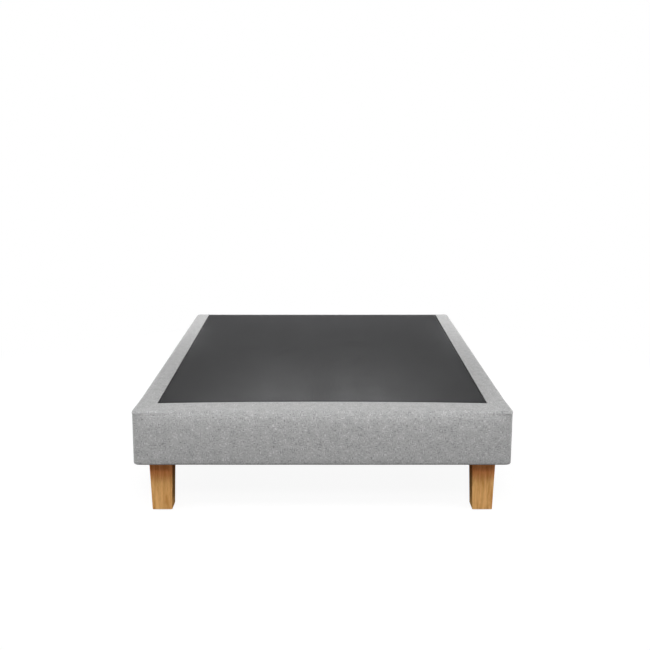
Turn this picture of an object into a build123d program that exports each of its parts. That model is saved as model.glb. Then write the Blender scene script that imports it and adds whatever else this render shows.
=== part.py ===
"""Double divan bed base: an upholstered box on four tapered wooden legs.

A softwood frame carries a centre beam and thirteen slats. Hardboard and felt make the deck flat.
Wadding and a woven cover wrap the sides, a dark non-slip panel closes the top, and a thin lining
closes the underside. Each leg screws up into a nut in a corner plate.

Millimetres. X runs across the bed, Y from the foot to the head, and Z up from the floor.
The origin is on the floor, below the middle of the bed.
"""

import os

from build123d import *

# Overall sizes
base_width = 1350.0
base_length = 1900.0
underside_height = 190.0
box_height = 197.0

# Woven cover: four sewn pieces that wrap from the deck seam round to a hem under the frame
cloth_thickness = 1.6
top_edge_radius = 12.0
bottom_edge_radius = 7.0
deck_corner_radius = 10.0
side_border = 75.0
side_border_at_head = 66.0
foot_border = 121.0
head_border = 16.0
foot_seam_bow = 21.0
hem_width = 38.0

# Wadding, deck felt and underside lining
wadding_thickness = 13.0
felt_thickness = 6.0
lining_thickness = 0.6
lining_inset = 16.0
lining_corner_radius = 10.0

# Hardboard deck, in two sheets that meet over the middle slat
board_thickness = 3.2
board_gap = 1.0

# Rails: the end rails sit in rebates in the side rails
rail_thickness = 27.0
rebate_depth = 10.0

# Slats: each end lies in a stopped housing in a side rail, flush with its top
slat_count = 13
slat_width = 70.0
slat_thickness = 18.0
slat_bearing = 17.0
slat_clearance = 0.4
slat_edge_chamfer = 2.0
slat_end_distance = 60.0

# Centre beam, in a folded steel hanger at each end
beam_width = 45.0
beam_height = 95.0
hanger_thickness = 2.0
hanger_seat = 50.0
hanger_height = 80.0
hanger_flange = 34.0
hanger_clearance = 0.3
hanger_screw_spacing = 44.0

# Corner plates that take the legs, and the glue blocks above them
plate_size = 140.0
plate_cut = 62.0
plate_thickness = 28.0
block_size = 52.0

# Legs: square, tapered on all four faces
leg_inset = 50.0
leg_top = 84.0
leg_bottom = 72.0
leg_edge_radius = 2.5
leg_foot_chamfer = 1.5

# Nailed glides under the legs
glide_radius = 14.0
glide_thickness = 3.0
glide_chamfer = 0.8
glide_nail_radius = 1.6
glide_nail_length = 16.0

# Hanger bolts: a wood thread in the leg, a machine thread above it
bolt_radius = 4.9
bolt_depth_in_leg = 45.0
bolt_stand_out = 4.0
bolt_nut_clearance = 0.1
bolt_hole_clearance = 0.6

# Pronged nuts: the wide ones take the legs, the narrow ones a headboard
nut_sides = 12
nut_flange_thickness = 1.5
prong_count = 4
prong_thickness = 1.3
prong_width = 3.0
prong_length = 7.0
prong_inset = 2.0
leg_nut_barrel_radius = 6.2
leg_nut_barrel_length = 13.0
leg_nut_flange_radius = 13.0
head_nut_bore_radius = 4.0
head_nut_barrel_radius = 5.2
head_nut_barrel_length = 11.0
head_nut_flange_radius = 11.0

# Headboard fixing holes in the head end
headboard_hole_radius = 4.5
headboard_hole_spacing = 660.0
headboard_hole_height = 290.0

# Countersunk screws of the frame, pan screws of the hangers, and flat brads of the slats.
# The screws are drawn with a few flats.
screw_sides = 6
frame_screw_radius = 2.5
frame_screw_head_radius = 5.0
frame_screw_head_height = 2.8
frame_screw_length = 60.0
corner_screw_edge = 30.0
corner_screw_count = 3
pan_screw_radius = 2.0
pan_screw_head_radius = 4.0
pan_screw_head_height = 2.2
pan_screw_length = 20.0
brad_width = 2.0
brad_thickness = 1.6
brad_length = 40.0

# How far a cutter runs past the faces that it opens
overrun = 5.0

# Levels
top_height = underside_height + box_height
cover_bottom = underside_height + lining_thickness
frame_bottom = cover_bottom + cloth_thickness
felt_top = top_height - cloth_thickness
board_top = felt_top - felt_thickness
frame_top = board_top - board_thickness
slat_bottom = frame_top - slat_thickness
beam_bottom = slat_bottom - beam_height
plate_top = cover_bottom + plate_thickness

# Plan sizes, measured from the middle of the bed
corner_radius = top_edge_radius + deck_corner_radius
frame_half_width = base_width / 2 - cloth_thickness - wadding_thickness
frame_half_length = base_length / 2 - cloth_thickness - wadding_thickness
inner_half_width = frame_half_width - rail_thickness
inner_half_length = frame_half_length - rail_thickness
deck_half_width = base_width / 2 - side_border
deck_head_half_width = base_width / 2 - side_border_at_head
deck_foot = foot_border - base_length / 2
deck_head = base_length / 2 - head_border
leg_x = base_width / 2 - leg_inset - leg_top / 2
leg_y = base_length / 2 - leg_inset - leg_top / 2

sides = {"left": -1, "right": 1}
ends = {"foot": -1, "head": 1}
corners = {f"{end}_{side}": (sides[side], ends[end]) for end in ends for side in sides}

os.makedirs("parts", exist_ok=True)


def save(piece, name):
    """Labels a finished piece and writes it under its name."""
    piece.label = name
    export_step(piece, f"parts/{name}.step")


def countersunk_screw():
    """A frame screw: its flat head lies on the XY plane and its shank runs down."""
    with BuildPart() as screw:
        with BuildSketch():
            RegularPolygon(frame_screw_head_radius, screw_sides)
        with BuildSketch(Plane.XY.offset(-frame_screw_head_height)):
            RegularPolygon(frame_screw_radius, screw_sides)
        loft()
        extrude(screw.faces().sort_by(Axis.Z)[0], amount=frame_screw_length - frame_screw_head_height)
    return screw.part


def pan_screw():
    """A hanger screw: its head stands on the XY plane and its shank runs down."""
    with BuildPart() as screw:
        with BuildSketch():
            RegularPolygon(pan_screw_head_radius, screw_sides)
        extrude(amount=pan_screw_head_height)
        with BuildSketch():
            RegularPolygon(pan_screw_radius, screw_sides)
        extrude(amount=-pan_screw_length)
    return screw.part


def slat_brad():
    """A slat brad, driven until its top lies on the XY plane."""
    with BuildPart() as brad:
        with BuildSketch():
            Rectangle(brad_width, brad_thickness)
        extrude(amount=-brad_length)
    return brad.part


def pronged_nut(flange_radius, barrel_radius, barrel_length, bore_radius):
    """A pressed nut: its flange stands on the XY plane, its barrel and prongs point down."""
    with BuildPart() as nut:
        with BuildSketch():
            RegularPolygon(flange_radius, nut_sides)
        extrude(amount=nut_flange_thickness)
        with BuildSketch():
            RegularPolygon(barrel_radius, nut_sides)
        extrude(amount=-barrel_length)
        with BuildSketch():
            with PolarLocations(flange_radius - prong_inset, prong_count):
                Rectangle(prong_thickness, prong_width)
        extrude(amount=-prong_length)
        with BuildSketch(Plane.XY.offset(nut_flange_thickness)):
            Circle(bore_radius)
        extrude(amount=-(nut_flange_thickness + barrel_length), mode=Mode.SUBTRACT)
    return nut.part


def nut_recess(flange_radius, barrel_radius, barrel_length, hole_radius, hole_depth):
    """What a pronged nut takes out of the timber: barrel, prong slots and a hole for its bolt."""
    with BuildPart() as recess:
        with BuildSketch():
            RegularPolygon(barrel_radius, nut_sides)
        extrude(amount=-barrel_length)
        with BuildSketch():
            with PolarLocations(flange_radius - prong_inset, prong_count):
                Rectangle(prong_thickness, prong_width)
        extrude(amount=-prong_length)
        with BuildSketch():
            Circle(hole_radius)
        extrude(amount=-(hole_depth + overrun))
    return recess.part


def repeated(item, places):
    """One node of separate like solids, one at each place."""
    with BuildPart() as group:
        with Locations(*places):
            add(item)
    return group.part


# Screws of the frame. A side rail's three corner screws run into the end grain of an end rail.
frame_screw = countersunk_screw()
rail_centre_y = frame_half_length - rail_thickness / 2
corner_screw_top = frame_top - corner_screw_edge
corner_screw_bottom = plate_top + corner_screw_edge
corner_screw_step = (corner_screw_top - corner_screw_bottom) / (corner_screw_count - 1)
corner_screw_places = [
    Plane(
        (sx * frame_half_width, sy * rail_centre_y, corner_screw_bottom + n * corner_screw_step),
        z_dir=(sx, 0, 0),
    ).location
    for sx, sy in corners.values()
    for n in range(corner_screw_count)
]
corner_screws = repeated(frame_screw, corner_screw_places)

# A screw through each rail holds a corner plate by its edge, which is glued as well.
plate_middle_z = (frame_bottom + plate_top) / 2
plate_middle_x = inner_half_width - plate_size / 2
plate_middle_y = inner_half_length - plate_size / 2
side_screw_places = [
    Plane((sx * frame_half_width, sy * plate_middle_y, plate_middle_z), z_dir=(sx, 0, 0)).location
    for sx, sy in corners.values()
]
end_screw_places = [
    Plane((sx * plate_middle_x, sy * frame_half_length, plate_middle_z), z_dir=(0, sy, 0)).location
    for sx, sy in corners.values()
]
plate_screws = repeated(frame_screw, side_screw_places + end_screw_places)

# Each slat has a brad down into both side rails and one into the beam.
slat_reach = inner_half_length - slat_end_distance
slat_step = 2 * slat_reach / (slat_count - 1)
slat_centres = [n * slat_step - slat_reach for n in range(slat_count)]
brad_x = inner_half_width + slat_bearing / 2
brad_columns = (-brad_x, 0, brad_x)
slat_brads = repeated(
    slat_brad(), [Location((x, y, frame_top)) for y in slat_centres for x in brad_columns]
)

# Side rails, housed for the slats and rebated for the end rails
housing_width = slat_width + 2 * slat_clearance
rail_height = frame_top - frame_bottom
for side, sx in sides.items():
    rail_x = sx * (frame_half_width - rail_thickness / 2)
    rebate_x = sx * (inner_half_width + rebate_depth / 2)
    housing_x = sx * (inner_half_width + slat_bearing / 2)
    with BuildPart() as side_rail:
        with BuildSketch(Plane.XY.offset(frame_bottom)):
            with Locations((rail_x, 0)):
                Rectangle(rail_thickness, 2 * frame_half_length)
            with Locations((rebate_x, rail_centre_y), (rebate_x, -rail_centre_y)):
                Rectangle(rebate_depth, rail_thickness, mode=Mode.SUBTRACT)
        extrude(amount=rail_height)
        with BuildSketch(Plane.XY.offset(frame_top)):
            with Locations(*[(housing_x, y) for y in slat_centres]):
                Rectangle(slat_bearing, housing_width)
        extrude(amount=-slat_thickness, mode=Mode.SUBTRACT)
        add(corner_screws, mode=Mode.SUBTRACT)
        add(plate_screws, mode=Mode.SUBTRACT)
        add(slat_brads, mode=Mode.SUBTRACT)
    save(side_rail.part, f"side_rail_{side}")

# Steel hangers for the centre beam, with their screws
hanger_inner = beam_width / 2 + hanger_clearance
hanger_outer = hanger_inner + hanger_thickness
hanger_flange_x = hanger_outer + hanger_flange / 2
hanger_low = beam_bottom - hanger_thickness
hanger_screw_low = hanger_low + (hanger_height - hanger_screw_spacing) / 2
hanger_screw_levels = (hanger_screw_low, hanger_screw_low + hanger_screw_spacing)
cheek_y = inner_half_length - hanger_seat / 2
flange_face_y = inner_half_length - hanger_thickness
flange_screw_places = [
    Plane((sx * hanger_flange_x, sy * flange_face_y, z), z_dir=(0, -sy, 0)).location
    for sx in sides.values()
    for sy in ends.values()
    for z in hanger_screw_levels
]
cheek_screw_places = [
    Plane((sx * hanger_outer, sy * cheek_y, hanger_screw_levels[-1]), z_dir=(sx, 0, 0)).location
    for sx in sides.values()
    for sy in ends.values()
]
hanger_screws = repeated(pan_screw(), flange_screw_places + cheek_screw_places)

for end, sy in ends.items():
    with BuildPart() as hanger:
        with BuildSketch(Plane.XY.offset(hanger_low)):
            with Locations((0, sy * cheek_y)):
                Rectangle(2 * hanger_outer, hanger_seat)
        extrude(amount=hanger_height)
        with BuildSketch(Plane.XY.offset(beam_bottom)):
            with Locations((0, sy * cheek_y)):
                Rectangle(2 * hanger_inner, hanger_seat + overrun)
        extrude(amount=hanger_height, mode=Mode.SUBTRACT)
        with BuildSketch(Plane.XY.offset(hanger_low)):
            with Locations(*[(sx * hanger_flange_x, sy * flange_face_y) for sx in sides.values()]):
                Rectangle(hanger_flange, 2 * hanger_thickness)
            with Locations((0, sy * (inner_half_length + overrun / 2))):
                Rectangle(2 * (hanger_outer + hanger_flange), overrun, mode=Mode.SUBTRACT)
        extrude(amount=hanger_height)
        add(hanger_screws, mode=Mode.SUBTRACT)
    save(hanger.part, f"beam_hanger_{end}")

# Centre beam, between the end rails and just under the slats
with BuildPart() as centre_beam:
    with BuildSketch(Plane.XY.offset(beam_bottom)):
        Rectangle(beam_width, 2 * inner_half_length)
    extrude(amount=beam_height)
    add(slat_brads, mode=Mode.SUBTRACT)
    add(hanger_screws, mode=Mode.SUBTRACT)
save(centre_beam.part, "centre_beam")

# End rails. The head rail also holds two pronged nuts for a headboard.
headboard_x = headboard_hole_spacing / 2
head_nut = pronged_nut(
    head_nut_flange_radius, head_nut_barrel_radius, head_nut_barrel_length, head_nut_bore_radius
)
head_nut_recess = nut_recess(
    head_nut_flange_radius,
    head_nut_barrel_radius,
    head_nut_barrel_length,
    headboard_hole_radius,
    rail_thickness,
)
head_nut_places = [
    Plane((sx * headboard_x, inner_half_length, headboard_hole_height), z_dir=(0, -1, 0)).location
    for sx in sides.values()
]
headboard_nuts = repeated(head_nut, head_nut_places)
end_rail_half_length = inner_half_width + rebate_depth
for end, sy in ends.items():
    with BuildPart() as end_rail:
        with BuildSketch(Plane.XY.offset(frame_bottom)):
            with Locations((0, sy * rail_centre_y)):
                Rectangle(2 * end_rail_half_length, rail_thickness)
        extrude(amount=rail_height)
        add(corner_screws, mode=Mode.SUBTRACT)
        add(plate_screws, mode=Mode.SUBTRACT)
        add(hanger_screws, mode=Mode.SUBTRACT)
        if end == "head":
            with Locations(*head_nut_places):
                add(head_nut_recess, mode=Mode.SUBTRACT)
    save(end_rail.part, f"{end}_rail")

# Slats, with eased top edges, held by brads at both ends and over the beam
slat_half_length = inner_half_width + slat_bearing - slat_clearance
for number, slat_y in enumerate(slat_centres, start=1):
    with BuildPart() as slat:
        with BuildSketch(Plane.XY.offset(slat_bottom)):
            with Locations((0, slat_y)):
                Rectangle(2 * slat_half_length, slat_width)
        extrude(amount=slat_thickness)
        chamfer(slat.edges().filter_by(Axis.X).group_by(Axis.Z)[-1], slat_edge_chamfer)
        with Locations(*[(x, slat_y, frame_top) for x in brad_columns]):
            add(slat_brad(), mode=Mode.SUBTRACT)
    save(slat.part, f"slat_{number:02d}")

save(corner_screws, "corner_screws")
save(plate_screws, "corner_plate_screws")
save(slat_brads, "slat_brads")
save(hanger_screws, "hanger_screws")
save(headboard_nuts, "headboard_nuts")

# Corner plates with the leg nuts on top, glue blocks above, hanger bolts, legs and glides
leg_nut = pronged_nut(
    leg_nut_flange_radius,
    leg_nut_barrel_radius,
    leg_nut_barrel_length,
    bolt_radius + bolt_nut_clearance,
)
leg_nut_recess = nut_recess(
    leg_nut_flange_radius,
    leg_nut_barrel_radius,
    leg_nut_barrel_length,
    bolt_radius + bolt_hole_clearance,
    plate_thickness,
)
bolt_top = plate_top + nut_flange_thickness + bolt_stand_out
bolt_bottom = underside_height - bolt_depth_in_leg

with BuildPart() as hanger_bolt:
    with BuildSketch(Plane.XY.offset(bolt_bottom)):
        Circle(bolt_radius)
    extrude(amount=bolt_top - bolt_bottom)

with BuildPart() as glide:
    with BuildSketch():
        Circle(glide_radius)
    extrude(amount=glide_thickness)
    chamfer(glide.edges().sort_by(Axis.Z)[0], glide_chamfer)
    with BuildSketch(Plane.XY.offset(glide_thickness)):
        RegularPolygon(glide_nail_radius, screw_sides)
    extrude(amount=glide_nail_length)

leg_spots = {name: (sx * leg_x, sy * leg_y) for name, (sx, sy) in corners.items()}
floor_places = [Location((x, y, 0)) for x, y in leg_spots.values()]
save(repeated(leg_nut, [Location((x, y, plate_top)) for x, y in leg_spots.values()]), "leg_nuts")
save(repeated(hanger_bolt.part, floor_places), "hanger_bolts")
save(repeated(glide.part, floor_places), "leg_glides")

for corner, (sx, sy) in corners.items():
    spot_x, spot_y = leg_spots[corner]
    plate_outline = [
        (0, 0),
        (plate_size, 0),
        (plate_size, plate_size - plate_cut),
        (plate_size - plate_cut, plate_size),
        (0, plate_size),
    ]
    with BuildPart() as corner_plate:
        with BuildSketch(Plane.XY.offset(cover_bottom)):
            Polygon(
                *[(sx * (inner_half_width - u), sy * (inner_half_length - v)) for u, v in plate_outline],
                align=None,
            )
        extrude(amount=plate_thickness)
        with Locations((spot_x, spot_y, plate_top)):
            add(leg_nut_recess, mode=Mode.SUBTRACT)
        add(plate_screws, mode=Mode.SUBTRACT)
    save(corner_plate.part, f"corner_plate_{corner}")

    block_outline = [(0, 0), (block_size, 0), (0, block_size)]
    with BuildPart() as glue_block:
        with BuildSketch(Plane.XY.offset(plate_top)):
            Polygon(
                *[(sx * (inner_half_width - u), sy * (inner_half_length - v)) for u, v in block_outline],
                align=None,
            )
        extrude(amount=slat_bottom - plate_top)
    save(glue_block.part, f"glue_block_{corner}")

    with BuildPart() as leg:
        with BuildSketch(Plane((spot_x, spot_y, glide_thickness))):
            RectangleRounded(leg_bottom, leg_bottom, leg_edge_radius)
        with BuildSketch(Plane((spot_x, spot_y, underside_height))):
            RectangleRounded(leg_top, leg_top, leg_edge_radius)
        loft()
        chamfer(leg.faces().sort_by(Axis.Z)[0].edges(), leg_foot_chamfer)
        with Locations((spot_x, spot_y, 0)):
            add(hanger_bolt.part, mode=Mode.SUBTRACT)
            add(glide.part, mode=Mode.SUBTRACT)
    save(leg.part, f"leg_{corner}")

# Hardboard deck sheets
for end, sy in ends.items():
    sheet_length = frame_half_length - board_gap / 2
    with BuildPart() as deck_board:
        with BuildSketch(Plane.XY.offset(frame_top)):
            with Locations((0, sy * (frame_half_length - sheet_length / 2))):
                Rectangle(2 * frame_half_width, sheet_length)
        extrude(amount=board_thickness)
    save(deck_board.part, f"deck_board_{end}")

# Deck felt, cut flush with the frame and with rounded corners
with BuildPart() as deck_felt:
    with BuildSketch(Plane.XY.offset(board_top)):
        RectangleRounded(2 * frame_half_width, 2 * frame_half_length, deck_corner_radius)
    extrude(amount=felt_thickness)
save(deck_felt.part, "deck_felt")

# Outline of the deck panel, a little wider at the head. Its foot seam is pulled inwards in the
# middle by the stretched panel.
with BuildSketch() as deck_outline:
    with BuildLine():
        Polyline(
            (deck_half_width, deck_foot),
            (deck_head_half_width, deck_head),
            (-deck_head_half_width, deck_head),
            (-deck_half_width, deck_foot),
        )
        ThreePointArc(
            (-deck_half_width, deck_foot),
            (0, deck_foot + foot_seam_bow),
            (deck_half_width, deck_foot),
        )
    make_face()

with BuildPart() as deck_panel:
    with BuildSketch(Plane.XY.offset(felt_top)):
        add(deck_outline.sketch)
    extrude(amount=cloth_thickness)
save(deck_panel.part, "deck_panel")


def upholstered_box(inset):
    """The outside of the upholstered box, with every face moved in by inset."""
    with BuildPart() as box:
        with BuildSketch(Plane.XY.offset(cover_bottom + inset)):
            RectangleRounded(
                base_width - 2 * inset, base_length - 2 * inset, corner_radius - inset
            )
        extrude(amount=top_height - cover_bottom - 2 * inset)
        fillet(box.faces().sort_by(Axis.Z)[-1].edges(), top_edge_radius - inset)
        fillet(box.faces().sort_by(Axis.Z)[0].edges(), bottom_edge_radius - inset)
    return box.part


# Plan of the sewn pieces, each given by its right-hand half. At the foot a seam runs from the
# deck panel's corner out over the box's corner. At the head it starts where the edge rounds over.
foot_seam_in = (deck_half_width, deck_foot)
foot_seam_out = (base_width / 2 + side_border, -(base_length / 2 + foot_border))
head_seam_in = (base_width / 2 - head_border, deck_head)
head_seam_out = (base_width / 2 + head_border, base_length / 2 + head_border)
panel_head_corner = (deck_head_half_width, deck_head)
side_outline = [
    foot_seam_out,
    foot_seam_in,
    panel_head_corner,
    head_seam_in,
    head_seam_out,
    (foot_seam_out[0], head_seam_out[1]),
]
foot_outline = [(0, foot_seam_out[1]), foot_seam_out, foot_seam_in, (deck_half_width, 0), (0, 0)]
head_outline = [
    (0, head_seam_out[1]),
    head_seam_out,
    head_seam_in,
    panel_head_corner,
    (deck_half_width, 0),
    (0, 0),
]
sewn_pieces = {
    "left": (side_outline, [sides["left"]]),
    "right": (side_outline, [sides["right"]]),
    "foot": (foot_outline, sides.values()),
    "head": (head_outline, sides.values()),
}


# The headboard bolts pass through the cover and the wadding at the head end.
with BuildPart() as headboard_holes:
    for sx in sides.values():
        hole_plane = Plane(
            (sx * headboard_x, frame_half_length, headboard_hole_height), z_dir=(0, 1, 0)
        )
        with BuildSketch(hole_plane):
            Circle(headboard_hole_radius)
        extrude(amount=wadding_thickness + cloth_thickness + overrun)

# The whole cloth skin, open over the deck panel and inside the hem
with BuildPart() as skin:
    add(upholstered_box(0))
    add(upholstered_box(cloth_thickness), mode=Mode.SUBTRACT)
    with BuildSketch(Plane.XY.offset(felt_top - overrun)):
        add(deck_outline.sketch)
    extrude(amount=cloth_thickness + 2 * overrun, mode=Mode.SUBTRACT)
    with BuildSketch(Plane.XY.offset(cover_bottom - overrun)):
        Rectangle(base_width - 2 * hem_width, base_length - 2 * hem_width)
    extrude(amount=cloth_thickness + 2 * overrun, mode=Mode.SUBTRACT)
    add(headboard_holes.part, mode=Mode.SUBTRACT)

# The whole wadding layer, between the cover and the timber and round the felt's edge
with BuildPart() as padding:
    add(upholstered_box(cloth_thickness))
    with BuildSketch(Plane.XY.offset(cover_bottom)):
        Rectangle(2 * frame_half_width, 2 * frame_half_length)
    extrude(amount=board_top - cover_bottom, mode=Mode.SUBTRACT)
    with BuildSketch(Plane.XY.offset(board_top)):
        RectangleRounded(2 * frame_half_width, 2 * frame_half_length, deck_corner_radius)
    extrude(amount=felt_thickness + overrun, mode=Mode.SUBTRACT)
    add(headboard_holes.part, mode=Mode.SUBTRACT)

for name, (outline, halves) in sewn_pieces.items():
    for layer, whole in (("cover", skin.part), ("wadding", padding.part)):
        with BuildPart() as soft_piece:
            add(whole)
            with BuildSketch():
                for sx in halves:
                    Polygon(*[(sx * x, y) for x, y in outline], align=None)
            extrude(amount=top_height + overrun, mode=Mode.INTERSECT)
        save(soft_piece.part, f"{layer}_{name}")

# Underside lining, stapled over the hem and pierced by the four leg bolts
with BuildPart() as lining:
    with BuildSketch(Plane.XY.offset(underside_height)):
        RectangleRounded(
            base_width - 2 * lining_inset, base_length - 2 * lining_inset, lining_corner_radius
        )
        with Locations(*leg_spots.values()):
            RegularPolygon(
                bolt_radius + bolt_hole_clearance,
                screw_sides,
                major_radius=False,
                mode=Mode.SUBTRACT,
            )
    extrude(amount=lining_thickness)
save(lining.part, "underside_lining")
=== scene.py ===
import math

import bmesh
import bpy
from mathutils import Matrix, Vector, noise


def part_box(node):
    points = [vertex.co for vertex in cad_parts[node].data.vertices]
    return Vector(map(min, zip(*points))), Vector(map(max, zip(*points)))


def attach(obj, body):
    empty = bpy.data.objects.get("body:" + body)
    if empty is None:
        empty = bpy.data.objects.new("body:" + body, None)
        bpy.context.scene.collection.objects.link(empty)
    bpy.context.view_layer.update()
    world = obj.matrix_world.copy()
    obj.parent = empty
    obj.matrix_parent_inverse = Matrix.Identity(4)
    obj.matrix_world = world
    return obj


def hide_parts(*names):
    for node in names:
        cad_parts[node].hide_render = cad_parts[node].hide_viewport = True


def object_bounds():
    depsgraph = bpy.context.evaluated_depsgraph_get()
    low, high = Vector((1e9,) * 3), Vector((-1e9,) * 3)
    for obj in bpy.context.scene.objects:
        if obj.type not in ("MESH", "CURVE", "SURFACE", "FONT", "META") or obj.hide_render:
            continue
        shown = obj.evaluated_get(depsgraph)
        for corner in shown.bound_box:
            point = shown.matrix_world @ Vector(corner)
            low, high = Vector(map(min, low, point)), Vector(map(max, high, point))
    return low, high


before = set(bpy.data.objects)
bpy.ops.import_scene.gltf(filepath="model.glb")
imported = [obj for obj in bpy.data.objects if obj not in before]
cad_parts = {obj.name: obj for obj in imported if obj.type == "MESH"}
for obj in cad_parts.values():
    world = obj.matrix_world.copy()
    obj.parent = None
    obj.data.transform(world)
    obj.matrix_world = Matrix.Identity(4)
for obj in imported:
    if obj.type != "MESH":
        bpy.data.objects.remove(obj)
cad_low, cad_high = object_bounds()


# Timber frame. The rails, the centre beam, the slats and the corner glue blocks are planed
# softwood, screwed and glued together. The slats are let into housings in the side rails.
def add_node(tree, kind, inputs=None, **settings):
    """Adds a node. An input is a value, or the output socket that feeds it."""
    node = tree.nodes.new(kind)
    for key, value in settings.items():
        setattr(node, key, value)
    for key, value in (inputs or {}).items():
        if isinstance(value, bpy.types.NodeSocket):
            tree.links.new(value, node.inputs[key])
        else:
            node.inputs[key].default_value = value
    return node


def linear(hex_colour):
    """An sRGB hex colour as linear red, green, blue and alpha."""
    channels = [int(hex_colour[n:n + 2], 16) / 255 for n in (1, 3, 5)]
    curve = [c / 12.92 if c <= 0.04045 else ((c + 0.055) / 1.055) ** 2.4 for c in channels]
    return (*curve, 1.0)


def new_finish(name):
    """An empty material, its node tree, and the socket that takes its shader."""
    finish = bpy.data.materials.new(name)
    finish.use_nodes = True
    finish.node_tree.nodes.clear()
    output = add_node(finish.node_tree, "ShaderNodeOutputMaterial")
    return finish, finish.node_tree, output.inputs["Surface"]


def dress(finish, *nodes):
    """Gives shown CAD nodes their finish."""
    for name in nodes:
        for material_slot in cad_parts[name].material_slots:
            material_slot.material = finish


def wood(name, grain_axis, pale, dark, streak_mm, fleck_mm, roughness):
    """Planed wood: matt, with broad growth streaks and darker flecks, both drawn out along the
    grain, which runs on axis 0, 1 or 2. A real pore is 0.1 mm wide, too fine to show, so the
    flecks are drawn coarser."""
    finish, tree, surface = new_finish(name)
    place = add_node(tree, "ShaderNodeTexCoord").outputs["Object"]
    grain_squeeze, fleck_share, dark_stop, pale_stop = 0.07, 0.28, 0.36, 0.62
    squeeze = [1.0, 1.0, 1.0]
    squeeze[grain_axis] = grain_squeeze
    drawn = add_node(tree, "ShaderNodeMapping", {"Vector": place, "Scale": squeeze})
    streaks = add_node(tree, "ShaderNodeTexNoise", {
        "Vector": drawn.outputs["Vector"], "Scale": 1000 / streak_mm, "Detail": 3.0,
        "Roughness": 0.55, "Distortion": 0.6,
    })
    pores = add_node(tree, "ShaderNodeTexNoise", {
        "Vector": drawn.outputs["Vector"], "Scale": 1000 / fleck_mm, "Detail": 2.0,
    })
    blend = add_node(tree, "ShaderNodeMix", {
        0: fleck_share, 2: streaks.outputs["Fac"], 3: pores.outputs["Fac"],
    })
    tone = add_node(tree, "ShaderNodeValToRGB", {"Fac": blend.outputs[0]})
    tone.color_ramp.elements[0].position = dark_stop
    tone.color_ramp.elements[0].color = linear(dark)
    tone.color_ramp.elements[1].position = pale_stop
    tone.color_ramp.elements[1].color = linear(pale)
    relief = add_node(tree, "ShaderNodeBump", {
        "Strength": 0.25, "Distance": 0.0003, "Height": pores.outputs["Fac"],
    })
    shader = add_node(tree, "ShaderNodeBsdfPrincipled", {
        "Base Color": tone.outputs["Color"], "Roughness": roughness, "Specular IOR Level": 0.0,
        "Normal": relief.outputs["Normal"],
    })
    tree.links.new(shader.outputs["BSDF"], surface)
    return finish


slat_names = sorted(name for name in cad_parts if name[:5] == "slat_" and name[5:].isdigit())
block_names = sorted(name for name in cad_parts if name.startswith("glue_block_"))
softwood = {"pale": "#E3C79B", "dark": "#C79F6B", "fleck_mm": 1.6, "roughness": 0.72}
dress(wood("planed softwood across the bed", 0, streak_mm=14, **softwood),
      "foot_rail", "head_rail", *slat_names)
dress(wood("planed softwood along the bed", 1, streak_mm=14, **softwood),
      "side_rail_left", "side_rail_right", "centre_beam")
dress(wood("planed softwood upright", 2, streak_mm=10, **softwood), *block_names)


# Corner plates. Each is 28 mm plywood, cut across one corner, and takes a leg's bolt. Its sawn
# edges show the plies, pale and darker in turn, drawn thicker than the real 1.4 mm to show.
wave_spacing = 2 * math.pi / 20  # metres between the bands of a wave texture at a scale of 1
ply_pair_mm, figure_mm, figure_share, figure_squeeze = 11.94, 11.1, 0.6, (0.1, 1.0, 0.2)
plywood, plywood_tree, plywood_surface = new_finish("sanded plywood")
plywood_place = add_node(plywood_tree, "ShaderNodeTexCoord").outputs["Object"]
plies = add_node(plywood_tree, "ShaderNodeTexWave", {
    "Vector": plywood_place, "Scale": 1000 * wave_spacing / ply_pair_mm, "Distortion": 0.4,
    "Detail": 2.0,
}, bands_direction="Z")
plywood_figure = add_node(plywood_tree, "ShaderNodeTexNoise", {
    "Vector": add_node(plywood_tree, "ShaderNodeMapping", {
        "Vector": plywood_place, "Scale": figure_squeeze,
    }).outputs["Vector"],
    "Scale": 1000 / figure_mm, "Detail": 3.0,
})
plywood_mix = add_node(plywood_tree, "ShaderNodeMix", {
    0: figure_share, 2: plies.outputs["Fac"], 3: plywood_figure.outputs["Fac"],
})
plywood_tone = add_node(plywood_tree, "ShaderNodeValToRGB", {"Fac": plywood_mix.outputs[0]})
plywood_tone.color_ramp.elements[0].color = linear("#B08A58")
plywood_tone.color_ramp.elements[1].color = linear("#E2C799")
plywood_shader = add_node(plywood_tree, "ShaderNodeBsdfPrincipled", {
    "Base Color": plywood_tone.outputs["Color"], "Roughness": 0.7,
})
plywood_tree.links.new(plywood_shader.outputs["BSDF"], plywood_surface)
dress(plywood, *sorted(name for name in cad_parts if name.startswith("corner_plate_")
                       and name != "corner_plate_screws"))


# Steel parts. The beam hangers are folded sheet; the nuts are pressed; bolts, screws and brads
# are wire. All are zinc plated, which leaves a pale bluish shine with faint spangles.
zinc, zinc_tree, zinc_surface = new_finish("bright zinc-plated steel")
spangle_mm = 2.5  # finer on real plating, and drawn coarser to show
spangles = add_node(zinc_tree, "ShaderNodeTexVoronoi", {
    "Vector": add_node(zinc_tree, "ShaderNodeTexCoord").outputs["Object"],
    "Scale": 1000 / spangle_mm,
})
zinc_tone = add_node(zinc_tree, "ShaderNodeValToRGB", {"Fac": spangles.outputs["Distance"]})
zinc_tone.color_ramp.elements[0].color = linear("#C9CCD0")
zinc_tone.color_ramp.elements[1].color = linear("#A9ADB2")
zinc_wear = add_node(zinc_tree, "ShaderNodeMapRange", {
    "Value": spangles.outputs["Distance"], "To Min": 0.28, "To Max": 0.42,
})
zinc_shader = add_node(zinc_tree, "ShaderNodeBsdfPrincipled", {
    "Base Color": zinc_tone.outputs["Color"], "Metallic": 1.0,
    "Roughness": zinc_wear.outputs["Result"],
})
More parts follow.
